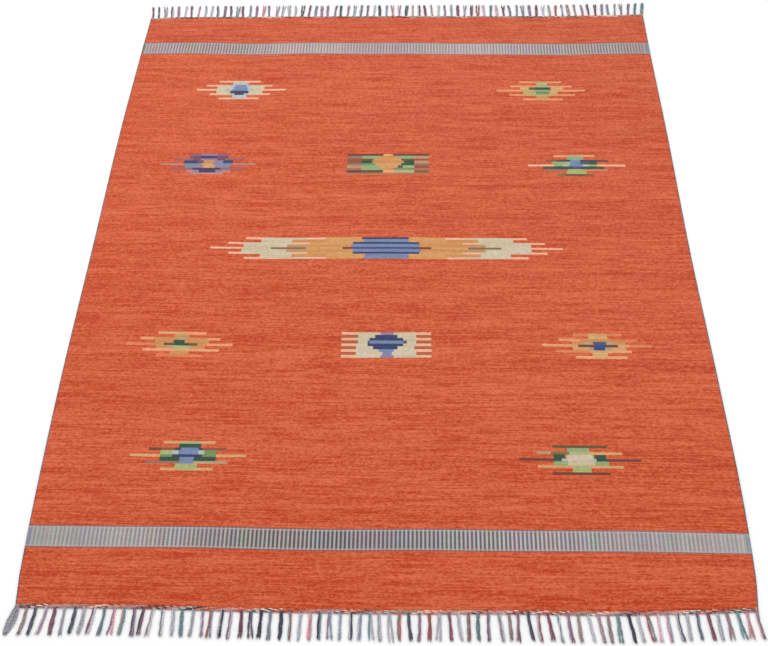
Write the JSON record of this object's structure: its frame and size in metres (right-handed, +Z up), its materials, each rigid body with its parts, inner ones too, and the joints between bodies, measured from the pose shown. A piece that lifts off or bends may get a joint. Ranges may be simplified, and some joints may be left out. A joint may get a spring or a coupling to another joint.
{
  "type": "kilim rug",
  "caption": "Flat-woven rectangular kilim rug, rust orange with small stepped motifs and a striped band near each end, knotted tassel fringe along both ends.",
  "frame": {"origin": "on the floor under the middle of the rug, with the underside at z = 0", "axes": "+X across the rug, +Y along it towards the end that is further away in the usual view, +Z up, out of the face"},
  "size_m": [1.427, 2.1429, 0.004],
  "materials": {
    "woven_wool": "matt weft-faced flat weave, heathered rust orange with blue, green, cream and gold motifs and pale grey ribbed bands",
    "fringe_yarn": "matt plied yarn in mixed slate, grey, teal, mauve and red-brown"
  },
  "bodies": {
    "root": {"woven_body": "woven_wool", "fringe_near": "fringe_yarn", "fringe_far": "fringe_yarn"}
  },
  "joints": []
}
